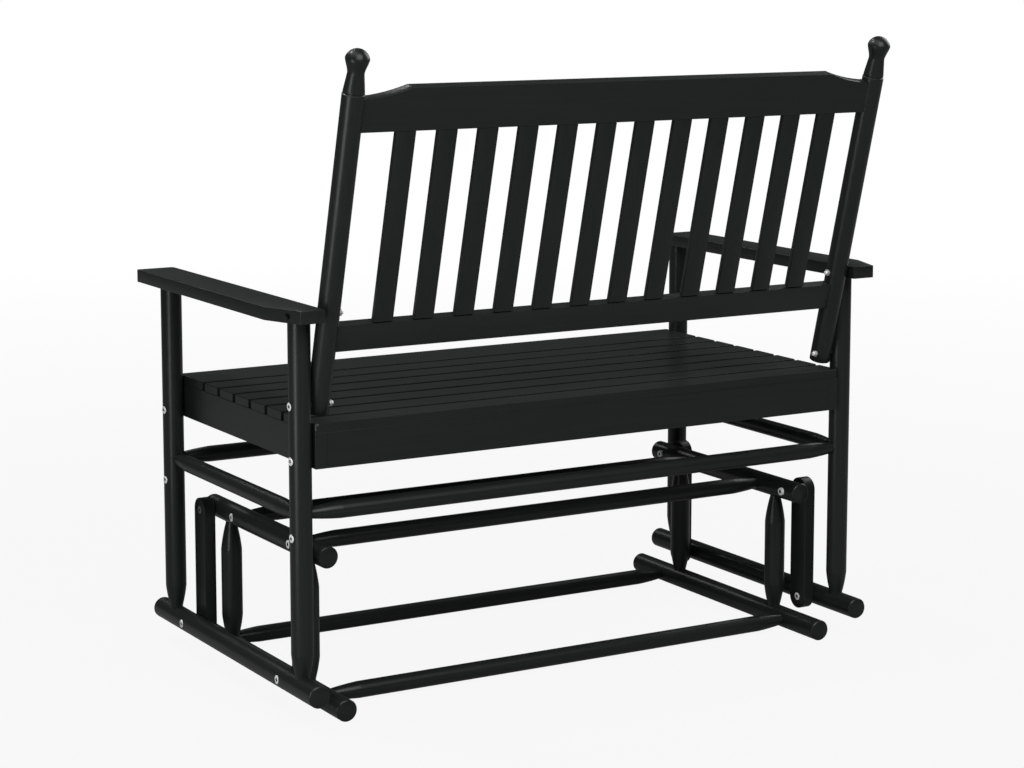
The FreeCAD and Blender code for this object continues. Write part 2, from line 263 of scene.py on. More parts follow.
runnerLook = {"baseHalf": 0.2615, "chairHalf": 0.28575, "baseX": 0.4213, "chairX": 0.476,
              "chairZ": 0.05065}
pivotLook = {"y": 0.175, "railZ": 0.2285, "headRadius": 0.0063, "headRoom": 0.0007, "headSunk": 0.0023,
             "barrelRadius": 0.005, "barrelRoom": 0.0003}
headBore = pivotLook["headRadius"] + pivotLook["headRoom"]
headSunk = pivotLook["headSunk"]
headFace = sag(pivotLook["headRadius"])
barrelBore = pivotLook["barrelRadius"] + pivotLook["barrelRoom"]
barrelFace = sag(pivotLook["barrelRadius"])
pieces = []


def keep(piece, body, material, *cadNodes):
    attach(piece, body)
    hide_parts(*cadNodes)
    pieces.append(piece)


def pair(piece, stem, body, cadStem):
    piece.name = piece.data.name = stem + "Left"
    right = mirrored(piece, stem + "Right")
    keep(piece, body, "paint", cadStem + "_left")
    keep(right, body, "paint", cadStem + "_right")


def squareBar(name, half, x, z, spots=()):
    # a bar with sawn ends that lies front to rear, ringed where it gets bored
    end = squareEnd(bar)
    piece = turnedBar(name, barOutline(2 * half, end, end, around([half + y for y in spots])))
    return place(piece, (x, -half + shift, z), (0, 1, 0))


def makeBaseRunners():
    runner = squareBar("baseRunner", runnerLook["baseHalf"], runnerLook["baseX"], bar)
    pair(runner, "baseRunner", "base", "base_runner")
    print("base runners drawn out")


railLook = {"half": 0.205, "barY": 0.1015}


def makeBaseRails():
    x, z = runnerLook["baseX"], pivotLook["railZ"]
    spots = [side * y for side in (-1, 1) for y in (pivotLook["y"], railLook["barY"])]
    rail = squareBar("baseRail", railLook["half"], x, z, spots)
    for side in (-1, 1):
        screwY, pivotY = side * railLook["barY"] + shift, side * pivotLook["y"] + shift
        bore(rail, (x + bar, screwY, z), (-1, 0, 0), headBore, headSunk)
        bore(rail, (x - bar, pivotY, z), (1, 0, 0), headBore, headFace)
        bore(rail, (x + bar, pivotY, z), (-1, 0, 0), barrelBore, barrelFace)
    tidyNormals(rail)
    pair(rail, "baseRail", "base", "base_rail")
    print("base rails drawn out and bored")


postLook = {"y": 0.13675, "footTip": 0.0102, "footTaper": 0.0335, "topTip": 0.0084, "topTaper": 0.042}


def makeBasePosts():
    look = postLook
    long = pivotLook["railZ"] - 3 * bar
    foot = pointedEnd(bar, look["footTip"], look["footTaper"])
    top = pointedEnd(bar, look["topTip"], look["topTaper"])
    creases = (look["footTaper"], long - look["topTaper"])
    first = turnedBar("basePost", barOutline(long, foot, top), creases=creases)
    four = []
    for sideX in (1, -1):
        for sideY in (1, -1):
            spot = (sideX * runnerLook["baseX"], sideY * look["y"] + shift, 2 * bar)
            four.append(moveTo(copyOf(first, "basePostCopy"), spot))
    bpy.data.objects.remove(first, do_unlink=True)
    keep(joined("basePosts", four), "base", "paint", "base_posts")
    print("base posts turned")


crossLook = {"tip": 0.0082, "taper": 0.045, "lowY": 0.175, "highY": 0.1015}


def slimBar(name, long):
    # a thin bar, pointed at both ends
    taper = crossLook["taper"]
    end = pointedEnd(slim, crossLook["tip"], taper)
    return turnedBar(name, barOutline(long, end, end), creases=(taper, long - taper))


def makeCrossbars():
    inner = runnerLook["baseX"] - bar
    first = slimBar("crossbar", 2 * inner)
    heights = {"lower": (crossLook["lowY"], bar), "upper": (crossLook["highY"], pivotLook["railZ"])}
    for level, (y, z) in heights.items():
        for end, side in (("front", -1), ("rear", 1)):
            crossbar = copyOf(first, level + "-crossbar-" + end + "-turned")
            place(crossbar, (-inner, side * y + shift, z), (1, 0, 0))
            keep(crossbar, "base", "paint", "base_" + level + "_crossbar_" + end)
    bpy.data.objects.remove(first, do_unlink=True)
    print("four crossbars turned")


legLook = {"x": 0.476, "y": 0.230, "top": 0.5825, "screwZ": 0.381, "lowScrewZ": 0.270,
           "boltY": 0.228, "boltZ": 0.459, "nutFace": 0.4298}


def makeLegs():
    look = legLook
    x, foot = look["x"], runnerLook["chairZ"] + bar
    point = pointedEnd(bar, postLook["footTip"], postLook["footTaper"])
    for end, side in (("front", -1), ("rear", 1)):
        y = side * look["y"] + shift
        holes = [(y, look["screwZ"]), (y, look["lowScrewZ"])]
        if end == "rear":
            holes.append((look["boltY"] + shift, look["boltZ"]))
        rings = around([z - foot for _, z in holes])
        outline = barOutline(look["top"] - foot, point, [(0, bar)], rings)
        leg = moveTo(turnedBar("leg", outline, creases=(postLook["footTaper"],)), (x, y, foot))
        for holeY, z in holes:
            bore(leg, (x + bar, holeY, z), (-1, 0, 0), headBore, headSunk)
        tidyNormals(leg)
        pair(leg, "leg" + end.title(), "chair", "leg_" + end)
    print("legs turned and bored")


def makeChairRunners():
    x, z = runnerLook["chairX"], runnerLook["chairZ"]
    spots = [side * pivotLook["y"] for side in (-1, 1)]
    runner = squareBar("chairRunner", runnerLook["chairHalf"], x, z, spots)
    for spot in spots:
        bore(runner, (x + bar, spot + shift, z), (-1, 0, 0), headBore, headSunk)
        bore(runner, (x - bar, spot + shift, z), (1, 0, 0), barrelBore, barrelFace)
    tidyNormals(runner)
    pair(runner, "chairRunner", "chair", "chair_runner")
    print("moving runners drawn out and bored")


stretcherLook = {"z": 0.3038}


def makeStretchers():
    z = stretcherLook["z"]
    half = legLook["y"] - bar
    side = place(slimBar("sideStretcher", 2 * half), (legLook["x"], -half + shift, z), (0, 1, 0))
    pair(side, "sideStretcher", "chair", "side_stretcher")
    inner = legLook["x"] - bar
    cross = slimBar("crossStretcher", 2 * inner)
    for end, sideY in (("front", -1), ("rear", 1)):
        twin = copyOf(cross, "crossStretcher" + end.title())
        place(twin, (-inner, sideY * legLook["y"] + shift, z), (1, 0, 0))
        keep(twin, "chair", "paint", "cross_stretcher_" + end)
    bpy.data.objects.remove(cross, do_unlink=True)
    print("stretchers turned")


backLook = {"lean": 15, "y": 0.2161, "seatZ": 0.43425, "x": 0.4435, "foot": 0.013, "footCut": 0.0010,
            "footCutIn": 0.0004, "footCutUp": 0.0003, "grooveLow": 0.485, "grooveHigh": 0.487,
            "grooveRadius": 0.0148, "lip": 0.0006, "lipIn": 0.0004, "upperCut": 0.0002,
            "aboveGroove": 0.0154, "neck": 0.5136, "neckRadius": 0.0119, "neckSteps": 6,
            "knob": 0.5343, "knobRadius": 0.0172, "top": 0.5481, "knobCurve": (0.22, 2.10, -1.32),
            "knobSteps": 10, "domeSteps": 11, "domeEnd": 11.4,
            "ringReach": 0.012, "nutHole": 0.0062, "nutHoleDeep": 0.02}


def leanBack(piece):
    # drawn upright on its own x, then leaned to the rear and lifted onto the seat
    piece.rotation_mode = "XYZ"
    piece.rotation_euler = (math.radians(-backLook["lean"]), 0, 0)
    return moveTo(piece, (0, backLook["y"] + shift, backLook["seatZ"]))


def knobOutline():
    # from the neck out to the widest round, then in over the dome
    look = backLook
    low, wide, top = look["neck"], look["knob"], look["top"]
    neck, full = look["neckRadius"], look["knobRadius"]
    first, second, third = look["knobCurve"]
    steps = []
    for k in range(look["knobSteps"] + 1):
        t = k / look["knobSteps"]
        share = first * t + second * t ** 2 + third * t ** 3
        steps.append((low + (wide - low) * t, neck + (full - neck) * share))
    rise = top - wide
    dome = (full * full + rise * rise) / (2 * rise)
    widest = math.asin(full / dome)
    for k in range(1, look["domeSteps"] + 1):
        turn = widest * (1 - k / look["domeEnd"])
        steps.append((top - dome + dome * math.cos(turn), dome * math.sin(turn)))
    return steps


def makeBackPosts():
    # an eased foot, the groove with its rounded lips, the waisted neck, then the knob
    look = backLook
    foot, cut, lip = look["foot"], look["footCut"], look["lip"]
    low, high, upper = look["grooveLow"], look["grooveHigh"], look["aboveGroove"]
    outline = [(foot, bar - cut), (foot + look["footCutUp"], bar - look["footCutIn"]), (foot + cut, bar)]
    outline += [(low - lip, bar), (low, bar - lip)]
    outline += [(low + look["lipIn"], look["grooveRadius"]), (high - look["lipIn"], look["grooveRadius"])]
    outline += [(high, upper - look["upperCut"]), (high + lip, upper)]
    start, steps = high + lip, look["neckSteps"]
    for k in range(1, steps):
        radius = upper + (look["neckRadius"] - upper) * k / steps
        outline.append((start + (look["neck"] - start) * k / steps, radius))
    outline += knobOutline()
    slant = math.cos(math.radians(look["lean"]))
    bolts = [(hole["boltZ"] - look["seatZ"]) / slant for hole in (legLook, armLook)]
    post = turnedBar("backPost", withRings(outline, around(bolts, look["ringReach"])))
    leanBack(moveTo(post, (look["x"], 0, 0)))
    for hole in (legLook, armLook):
        mouth = (hole["nutFace"] - look["nutHoleDeep"], hole["boltY"] + shift, hole["boltZ"])
        bore(post, mouth, (1, 0, 0), look["nutHole"], look["nutHoleDeep"])
    tidyNormals(post)
    pair(post, "backPost", "chair", "back_post")
    print("back posts turned with their knobs")


linkLook = {"radius": 0.019, "thick": 0.019, "inner": 0.43915, "sides": 72, "edge": 0.0009,
            "barrelHole": 0.00505, "headSunk": 0.0022, "boreBefore": 0.001, "boreExtra": 0.004}


def makeLinks():
    # a disc is pulled out to a long round-ended outline, then to its thickness
    look = linkLook
    railZ, chairZ, inner = pivotLook["railZ"], runnerLook["chairZ"], look["inner"]
    clearSelection()
    halfSide = (0, 0, math.radians(180 / look["sides"]))
    bpy.ops.mesh.primitive_circle_add(
        vertices=look["sides"], radius=look["radius"], fill_type="NGON", rotation=halfSide)
    link = bpy.context.object
    settle(link)
    bpy.ops.object.mode_set(mode="EDIT")
    bpy.ops.mesh.select_all(action="DESELECT")
    bpy.ops.object.mode_set(mode="OBJECT")
    for corner in link.data.vertices:
        corner.select = corner.co.x > 0
    bpy.ops.object.mode_set(mode="EDIT")
    bpy.ops.mesh.select_mode(type="VERT")
    bpy.ops.transform.translate(value=(railZ - chairZ, 0, 0))
    bpy.ops.mesh.select_all(action="SELECT")
    drawOut((0, 0, look["thick"]))
    bpy.ops.object.mode_set(mode="OBJECT")
    tidyNormals(link)
    easeEdges(link, look["edge"])
    place(link, (inner, 0, railZ), (1, 0, 0))
    for z, mouth, way in ((railZ, inner + look["thick"], -1), (chairZ, inner, 1)):
        start, deep = (inner - look["boreBefore"], 0, z), look["thick"] + look["boreExtra"]
        bore(link, start, (1, 0, 0), look["barrelHole"], deep)
        bore(link, (mouth, 0, z), (way, 0, 0), headBore, look["headSunk"])
    tidyNormals(link)
    for end, side in (("Front", -1), ("Rear", 1)):
        left = copyOf(link, "swingLink" + end + "Left")
        moveTo(left, (0, side * pivotLook["y"] + shift, 0))
        right = mirrored(left, "swingLink" + end + "Right")
        for piece, hand in ((left, "_left"), (right, "_right")):
            keep(piece, "link_" + end.lower() + hand, "paint", "link_" + end.lower() + hand)
    bpy.data.objects.remove(link, do_unlink=True)
    print("four swing links cut")


armLook = {"inner": 0.45975, "outer": 0.522, "rearOuter": 0.498, "front": -0.258, "rear": 0.2826,
           "taperFrom": 0.214, "low": 0.5825, "high": 0.6015, "corner": 0.006, "cornerSteps": 8,
           "ease": 0.0007, "boltY": 0.258369, "boltZ": 0.592, "nutFace": 0.428039,
           "holeRadius": 0.0049, "holeFloor": 0.48819}


def makeArmrests():
    look = armLook
    inner, outer, near = look["inner"], look["outer"], 0.001
    front, rear = look["front"] + shift, look["rear"] + shift
    arm = plank("armrest", (inner, front, look["low"]), (outer, rear, look["high"]))
    pick(arm)
    bpy.ops.object.mode_set(mode="EDIT")
    bpy.ops.mesh.select_all(action="SELECT")
    bpy.ops.mesh.bisect(plane_co=(0, look["taperFrom"] + shift, 0), plane_no=(0, 1, 0))
    bpy.ops.object.mode_set(mode="OBJECT")
    chooseEdges(arm, lambda co: co.x > outer - near and co.y > rear - near)
    bpy.ops.transform.translate(value=(look["rearOuter"] - outer, 0, 0))
    bpy.ops.object.mode_set(mode="OBJECT")
    for x in (inner, outer):
        # the front corners are rounded one after the other
        chooseEdges(arm, lambda co: abs(co.x - x) < near and co.y < front + near)
        bpy.ops.mesh.bevel(offset=look["corner"], segments=look["cornerSteps"], affect="EDGES")
        bpy.ops.object.mode_set(mode="OBJECT")
    easeEdges(arm, look["ease"], angle=40)
    mouth = (outer, look["boltY"] + shift, look["boltZ"])
    bore(arm, mouth, (-1, 0, 0), look["holeRadius"], outer - look["holeFloor"])
    tidyNormals(arm)
    pair(arm, "armrest", "chair", "armrest")
    print("armrests sawn, rounded and bored")


makeBaseRunners()
makeBaseRails()
makeBasePosts()
makeCrossbars()
makeLegs()
makeChairRunners()
makeStretchers()
makeBackPosts()
makeLinks()
makeArmrests()


class Wire:
    # a node's socket, ready for sums
    def __init__(self, tree, socket):
        self.tree = tree
        self.socket = socket

    def reckon(self, operation, first, second):
        node = self.tree.nodes.new("ShaderNodeMath")
        node.operation = operation
        for slotNumber, value in enumerate((first, second)):
            if isinstance(value, Wire):
                self.tree.links.new(value.socket, node.inputs[slotNumber])
            else:
                node.inputs[slotNumber].default_value = value
        return Wire(self.tree, node.outputs[0])

    def __add__(self, other):
        return self.reckon("ADD", self, other)

    def __sub__(self, other):
        return self.reckon("SUBTRACT", self, other)

    def __rsub__(self, other):
        return self.reckon("SUBTRACT", other, self)

    def __mul__(self, other):
        return self.reckon("MULTIPLY", self, other)

    def __abs__(self):
        return self.reckon("ABSOLUTE", self, 0)

    def __lt__(self, other):
        return self.reckon("LESS_THAN", self, other)

    def __gt__(self, other):
        return self.reckon("GREATER_THAN", self, other)

    __radd__ = __add__
    __rmul__ = __mul__


class Finish:
    # the nodes of a new material or of the world
    def __init__(self, holder):
        self.material = holder
        holder.use_nodes = True
        self.tree = holder.node_tree
        self.shader = self.tree.nodes.get("Principled BSDF") or self.tree.nodes["Background"]

    def node(self, kind, settings=None, out=0, **inputs):
        # inputs go by name, or as i0, i1 and so on by number
        made = self.tree.nodes.new(kind)
        for key, value in (settings or {}).items():
            if key == "stops":
                for stop, (spot, colour) in zip(made.color_ramp.elements, value):
                    stop.position, stop.color = spot, colour
            else:
                setattr(made, key, value)
        for key, value in inputs.items():
            numbered = key[0] == "i" and key[1:].isdigit()
            self.feed(made.inputs[int(key[1:])] if numbered else made.inputs[key], value)
        return Wire(self.tree, made.outputs[out])

    def feed(self, socket, value):
        if isinstance(value, Wire):
            self.tree.links.new(value.socket, socket)
        else:
            socket.default_value = value

    def noise(self, where, scale, **inputs):
        solid = {"noise_dimensions": "3D"}
        return self.node("ShaderNodeTexNoise", solid, Vector=where, Scale=scale, **inputs)

    def onObject(self):
        return self.node("ShaderNodeTexCoord", out=3)

    def own(self):
        return Wire(self.tree, self.shader.outputs[0])


paintLook = {"tones": ((0.32, (0.0098, 0.0110, 0.0106, 1)), (0.68, (0.0130, 0.0145, 0.0140, 1))),
             "specular": 0.25, "stretch": 3, "squeeze": 90,
             "grainScale": 2.2, "grainDetail": 5.0, "grainRoughness": 0.55, "grainShare": 0.6,
             "cloudScale": 7.0, "cloudDetail": 2.0, "cloudShare": 0.4,
             "dustScale": 900.0, "dustDetail": 1.0, "dustShare": 0.15,
             "grainDull": 0.10, "cloudDull": 0.08, "middleDull": 0.09, "relief": 0.8,
             "sawn": {"grain": 0.00008, "roughness": 0.31}, "turned": {"grain": 0.00001, "roughness": 0.32}}
# painted shade: a near-black colour and a duller finish for the walls between the seat slats and for the
# back slats' foot joints
gapShadeLook = {"middle": -0.0189, "reach": 0.178, "facing": 0.75, "colour": (0.0022, 0.0024, 0.0024, 1),
           "duller": 0.4, "seamRoughness": 0.8, "seamSpecular": 0.1}
steelLook = {"tones": ((0.3, (0.80, 0.80, 0.80)), (0.7, (0.92, 0.92, 0.92))),
             "roughness": 0.38, "metal": 0.2, "scratchScale": 700.0, "scratchDetail": 3.0,
             "scratchDull": 0.16, "nutShadeDim": 0.42, "sleeveShadeDim": 0.17, "socketShadeDim": 0.03}


def satinPaint(name, along, kind="sawn", shadeInGaps=False):
    # thin black paint over planed or turned wood, the grain runs along one axis
    look = paintLook
    finish = Finish(bpy.data.materials.new(name))
    scale = tuple(look["stretch"] if axis == along else look["squeeze"] for axis in "xyz")
    where = finish.onObject()
    stretched = finish.node("ShaderNodeMapping", i0=where, i3=scale)
    grain = finish.noise(
        stretched, look["grainScale"], Detail=look["grainDetail"], Roughness=look["grainRoughness"])
    clouds = finish.noise(where, look["cloudScale"], Detail=look["cloudDetail"])
    dust = finish.noise(where, look["dustScale"], Detail=look["dustDetail"])
    tone = grain * look["grainShare"] + clouds * look["cloudShare"]
    colour = finish.node("ShaderNodeValToRGB", {"stops": look["tones"]}, i0=tone)
    base = look[kind]["roughness"] - look["middleDull"]
    roughness = grain * look["grainDull"] + clouds * look["cloudDull"] + base
    if shadeInGaps:
        # painted shade: the walls facing front and rear between the seat slats are painted darker and
        # duller, for the shade in the gaps
        facing = finish.node("ShaderNodeTexCoord", out=1)
        faceY = finish.node("ShaderNodeSeparateXYZ", out=1, i0=facing)
        spotY = finish.node("ShaderNodeSeparateXYZ", out=1, i0=where)
        gapShadeMask = (abs(faceY) > gapShadeLook["facing"]) * (abs(spotY - gapShadeLook["middle"]) < gapShadeLook["reach"])
        colours = {"i6": colour, "i7": gapShadeLook["colour"]}
        colour = finish.node("ShaderNodeMix", {"data_type": "RGBA"}, out=2, i0=gapShadeMask, **colours)
        roughness = roughness + gapShadeMask * gapShadeLook["duller"]
    height = grain + dust * look["dustShare"]
    bump = {"Distance": look[kind]["grain"], "Strength": look["relief"]}
    relief = finish.node("ShaderNodeBump", Height=height, **bump)
    finish.feed(finish.shader.inputs["Base Color"], colour)
    finish.feed(finish.shader.inputs["Roughness"], roughness)
    finish.feed(finish.shader.inputs["Normal"], relief)
    finish.feed(finish.shader.inputs["Specular IOR Level"], look["specular"])
    return finish.material


def seamShadePaint():
    # painted shade: a dark, dull paint standing in for the shade where the back slats' feet meet the bottom
    # rail
    finish = Finish(bpy.data.materials.new("seamShadePaint"))
    finish.feed(finish.shader.inputs["Base Color"], gapShadeLook["colour"])
    finish.feed(finish.shader.inputs["Roughness"], gapShadeLook["seamRoughness"])
    finish.feed(finish.shader.inputs["Specular IOR Level"], gapShadeLook["seamSpecular"])
    return finish.material


def platedSteel(name, dim=1.0):
    # a dim below one gives a darker copy of the steel, used as painted shade
    look = steelLook
    finish = Finish(bpy.data.materials.new(name))
    scratches = finish.noise(finish.onObject(), look["scratchScale"], Detail=look["scratchDetail"])
    tones = [(spot, tuple(part * dim for part in tone) + (1,)) for spot, tone in look["tones"]]
    colour = finish.node("ShaderNodeValToRGB", {"stops": tones}, i0=scratches)
    base = look["roughness"] - look["scratchDull"] / 2
    finish.feed(finish.shader.inputs["Base Color"], colour)
    finish.feed(finish.shader.inputs["Roughness"], scratches * look["scratchDull"] + base)
    finish.feed(finish.shader.inputs["Metallic"], look["metal"])
    return finish.material


sawnPaint = {axis: satinPaint("satinPaint" + axis.upper(), axis) for axis in "xyz"}
turnedPaint = {axis: satinPaint("turnedPaint" + axis.upper(), axis, "turned") for axis in "xyz"}
# the seat slats' paint carries painted shade in their gaps
gapShadedSlatPaint = satinPaint("seatSlatGapShadePaint", "x", shadeInGaps=True)
seamShade = seamShadePaint()
steel = platedSteel("platedSteel")
# painted shade: a darkened copy of the steel for the post nuts
shadedNutSteel = platedSteel("shadedNutSteel", steelLook["nutShadeDim"])
# painted shade: a darkened copy of the steel stands in for the shade on the sleeve heads at the links'
# upper ends
shadedSleeveSteel = platedSteel("shadedSleeveSteel", steelLook["sleeveShadeDim"])  # almost black on the links' upper ends
# painted shade: a near-black copy of the steel for the hex sockets and the plain shanks of threaded bolts
socketShadeSteel = platedSteel("socketShadeSteel", steelLook["socketShadeDim"])
print("paint and steel mixed")


def shade(piece, wanted):
    # the faces that pass the test take the piece's second material
    chooseFaces(piece, wanted)
    piece.active_material_index = 1
    bpy.ops.object.material_slot_assign()
    bpy.ops.object.mode_set(mode="OBJECT")


slatLook = {"count": 12, "pitch": 0.0655, "wide": 0.031, "rear": 0.0095, "thick": 0.008, "foot": 0.1477,
            "head": 0.4307, "tongueWide": 0.027, "tongueThick": 0.005, "tongueFoot": 0.138,
            "tongueHead": 0.439}


def makeBackSlats():
    # a thin board whose ends are drawn in, then on to narrower tongues
    look = slatLook
    wide, thick, rear, edge = look["wide"], look["thick"], look["rear"], stock["softEdge"]
    foot, head, middle = look["foot"], look["head"], rear - thick / 2
    atEnd, aboveFoot = 1e-6, 1e-5
    slat = plank("backSlat", (-wide / 2, rear - thick, foot), (wide / 2, rear, head))
    easeEdges(slat, edge, segments=2)
    narrow = (look["tongueWide"] / (wide - 2 * edge), look["tongueThick"] / (thick - 2 * edge), 1)
    for end, tip in ((foot, look["tongueFoot"]), (head, look["tongueHead"])):
        chooseFaces(slat, lambda centre: abs(centre.z - end) < atEnd)
        drawOut((0, 0, 0))
        bpy.ops.transform.resize(value=narrow, center_override=(0, middle, end))
        drawOut((0, 0, tip - end))
        bpy.ops.object.mode_set(mode="OBJECT")
    tidyNormals(slat)
    slat.data.materials.append(sawnPaint["z"])
    slat.data.materials.append(seamShade)
    # painted shade: the foot tongue and its shoulder take the dark seam paint
    shade(slat, lambda centre: centre.z < foot + aboveFoot)
    row = []
    for k in range(look["count"]):
        twin = copyOf(slat, "backSlatCopy")
        moveTo(twin, ((k - (look["count"] - 1) / 2) * look["pitch"], 0, 0))
        row.append(leanBack(twin))
    bpy.data.objects.remove(slat, do_unlink=True)
    keep(joined("backSlats", row), "chair", "paint", "back_slats")
    print("back slats sawn with their tongues")


boltLook = {"shank": 0.003, "sides": 48, "headThick": 0.002, "deepHeadThick": 0.004,
            "armHeadRadius": 0.0042, "rim": 0.0005, "rimUp": 0.3, "rimIn": 0.35,
            "edge": 0.0001, "tip": 0.0006, "tipLong": 0.0002, "hexAcross": 0.0048,
            "hexDepth": 0.0026, "hexTool": 0.006, "hexRoom": 0.00005, "hexReach": 0.004,
            "nutAcross": 0.0092, "nutThick": 0.004, "nutEdge": 0.0004, "nutRoom": 0.0001,
            "nutBefore": 0.001, "threadPitch": 0.0008, "threadDepth": 0.00028, "threads": 0.009,
            "railScrew": 0.0442, "legScrew": 0.0452, "lowScrew": 0.025,
            "intoSleeve": 0.012, "sleeveInLink": 0.0186, "pastNut": 0.0065}


def headedPin(headRadius=None, headThick=None, radius=None, long=0.0, threads=0.0, metal=steel):
    # the head faces -Z, its underside is at zero, and the pin runs up +Z
    look = boltLook
    headRadius = headRadius or pivotLook["headRadius"]
    headThick = headThick or look["headThick"]
    radius = radius or look["shank"]
    rim, edge, pitch = look["rim"], look["edge"], look["threadPitch"]
    rounding = (-headThick + rim * look["rimUp"], headRadius - rim * look["rimIn"])
    outline = [(-headThick, headRadius - rim), rounding, (-headThick + rim, headRadius)]
    outline += [(-edge, headRadius), (0, headRadius - edge), (edge, radius)]
    height = long - threads
    if threads:
        outline.append((height, radius))
        while height + pitch < long:
            outline.append((height + pitch * 0.5, radius - look["threadDepth"]))
            height += pitch
            outline.append((height, radius))
    outline += [(long - look["tipLong"], radius - edge), (long, radius - look["tip"])]
    pin = turnedBar("pin", outline, look["sides"])
    hexRadius = look["hexAcross"] / math.sqrt(3)
    middle = (0, 0, -headThick - look["hexTool"] / 2 + look["hexDepth"])
    clearSelection()
    bpy.ops.mesh.primitive_cylinder_add(
        vertices=6, radius=hexRadius, depth=look["hexTool"], location=middle)
    tool = bpy.context.object
    settle(tool)
    cutAway(pin, tool)
    tidyNormals(pin)
    pin.data.materials.append(metal)
    pin.data.materials.append(socketShadeSteel)

    def inPaintedShade(centre):
        # painted shade: the socket's own faces, and the plain shank of a bolt with threads, take the
        # near-black steel
        inSocket = math.hypot(centre.x, centre.y) < hexRadius + look["hexRoom"]
        inSocket = inSocket and -headThick + edge / 5 < centre.z < look["hexReach"]
        return inSocket or (threads and 2 * edge < centre.z < long - threads)

    shade(pin, inPaintedShade)
    return pin


def hexNut():
    look = boltLook
    radius, thick, before = look["nutAcross"] / math.sqrt(3), look["nutThick"], look["nutBefore"]
    clearSelection()
    bpy.ops.mesh.primitive_cylinder_add(vertices=6, radius=radius, depth=thick, location=(0, 0, thick / 2))
    nut = bpy.context.object
    settle(nut)
    easeEdges(nut, look["nutEdge"], angle=40)
    bore(nut, (0, 0, -before), (0, 0, 1), look["shank"] + look["nutRoom"], thick + 2 * before)
    tidyNormals(nut)
    nut.data.materials.append(shadedNutSteel)
    return nut


def scatter(first, name, body, cadNode, places):
    # one copy at each place, and its twin across the middle
    found = []
    for (x, y, z), along in places:
        for side in (1, -1):
            twin = copyOf(first, name + "Copy")
            found.append(place(twin, (side * x, y + shift, z), (side * along, 0, 0)))
    bpy.data.objects.remove(first, do_unlink=True)
    keep(joined(name, found), body, "steel", cadNode)


def bothEnds(x, y, z, along):
    return [((x, side * y, z), along) for side in (-1, 1)]


def makeFasteners():
    look = boltLook
    railZ, chairZ, pivotY = pivotLook["railZ"], runnerLook["chairZ"], pivotLook["y"]
    # where the undersides of the heads lie, counted from the middle of the bench
    railIn, railOut = runnerLook["baseX"] - bar + headFace, runnerLook["baseX"] + bar - headSunk
    legOut = legLook["x"] + bar - headSunk
    linkIn = linkLook["inner"] + look["headThick"]
    linkOut = linkLook["inner"] + linkLook["thick"] - look["headThick"]
    throughBar = 2 * bar - barrelFace + look["intoSleeve"]
    sleeve = {"radius": pivotLook["barrelRadius"], "long": barrelFace + look["sleeveInLink"]}
    scatter(headedPin(long=look["railScrew"]), "railScrews", "base", "rail_screws",
            bothEnds(railOut, railLook["barY"], railZ, -1))
    scatter(headedPin(headThick=look["deepHeadThick"], long=throughBar - headFace), "railPivotBolts",
            "base", "rail_pivot_bolts", bothEnds(railIn, pivotY, railZ, 1))
    scatter(headedPin(metal=shadedSleeveSteel, **sleeve), "railPivotSleeves", "base", "rail_pivot_sleeves",
            bothEnds(linkOut, pivotY, railZ, -1))
    scatter(headedPin(long=throughBar - headSunk), "runnerPivotBolts", "chair", "runner_pivot_bolts",
            bothEnds(legOut, pivotY, chairZ, -1))
    scatter(headedPin(**sleeve), "runnerPivotSleeves", "chair", "runner_pivot_sleeves",
            bothEnds(linkIn, pivotY, chairZ, 1))
    scatter(headedPin(long=look["legScrew"]), "legScrews", "chair", "leg_screws",
            bothEnds(legOut, legLook["y"], legLook["screwZ"], -1))
    scatter(headedPin(long=look["lowScrew"]), "legLowScrews", "chair", "leg_low_screws",
            bothEnds(legOut, legLook["y"], legLook["lowScrewZ"], -1))
    bolt = {"long": legOut - legLook["nutFace"] + look["pastNut"], "threads": look["threads"]}
    legY, legZ, armY, armZ = legLook["boltY"], legLook["boltZ"], armLook["boltY"], armLook["boltZ"]
    scatter(headedPin(**bolt), "footBolts", "chair", "foot_bolts", [((legOut, legY, legZ), -1)])
    scatter(headedPin(headRadius=look["armHeadRadius"], **bolt), "armBolts", "chair", "arm_bolts",
            [((armLook["holeFloor"], armY, armZ), -1)])
    scatter(hexNut(), "postNuts", "chair", "post_nuts",
            [((legLook["nutFace"], legY, legZ), -1), ((armLook["nutFace"], armY, armZ), -1)])
    print("bolts, screws, sleeves and nuts made")


makeBackSlats()
makeFasteners()


def longestAxis(piece):
    reach = []
    for k in range(3):
        spots = [corner[k] for corner in piece.bound_box]
        reach.append(max(spots) - min(spots))
    return "xyz"[reach.index(max(reach))]


def dress(piece, material):
    if not piece.material_slots:
        piece.data.materials.append(material)
    for holder in piece.material_slots:
        holder.material = material


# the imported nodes, then the new pieces that have no finish yet
for name, cadNode in nodes.items():
    if name.endswith(("bolts", "screws", "nuts", "sleeves")):
        dress(cadNode, steel)
    elif name == "back_slats":
        dress(cadNode, sawnPaint["z"])
    elif name.startswith("seat_slat"):
        dress(cadNode, gapShadedSlatPaint)
    else:
        dress(cadNode, sawnPaint[longestAxis(cadNode)])
for piece in pieces:
    if not piece.material_slots:
        kind = sawnPaint if piece.name.startswith(("armrest", "swingLink")) else turnedPaint
        dress(piece, kind["z" if piece.name == "basePosts" else longestAxis(piece)])

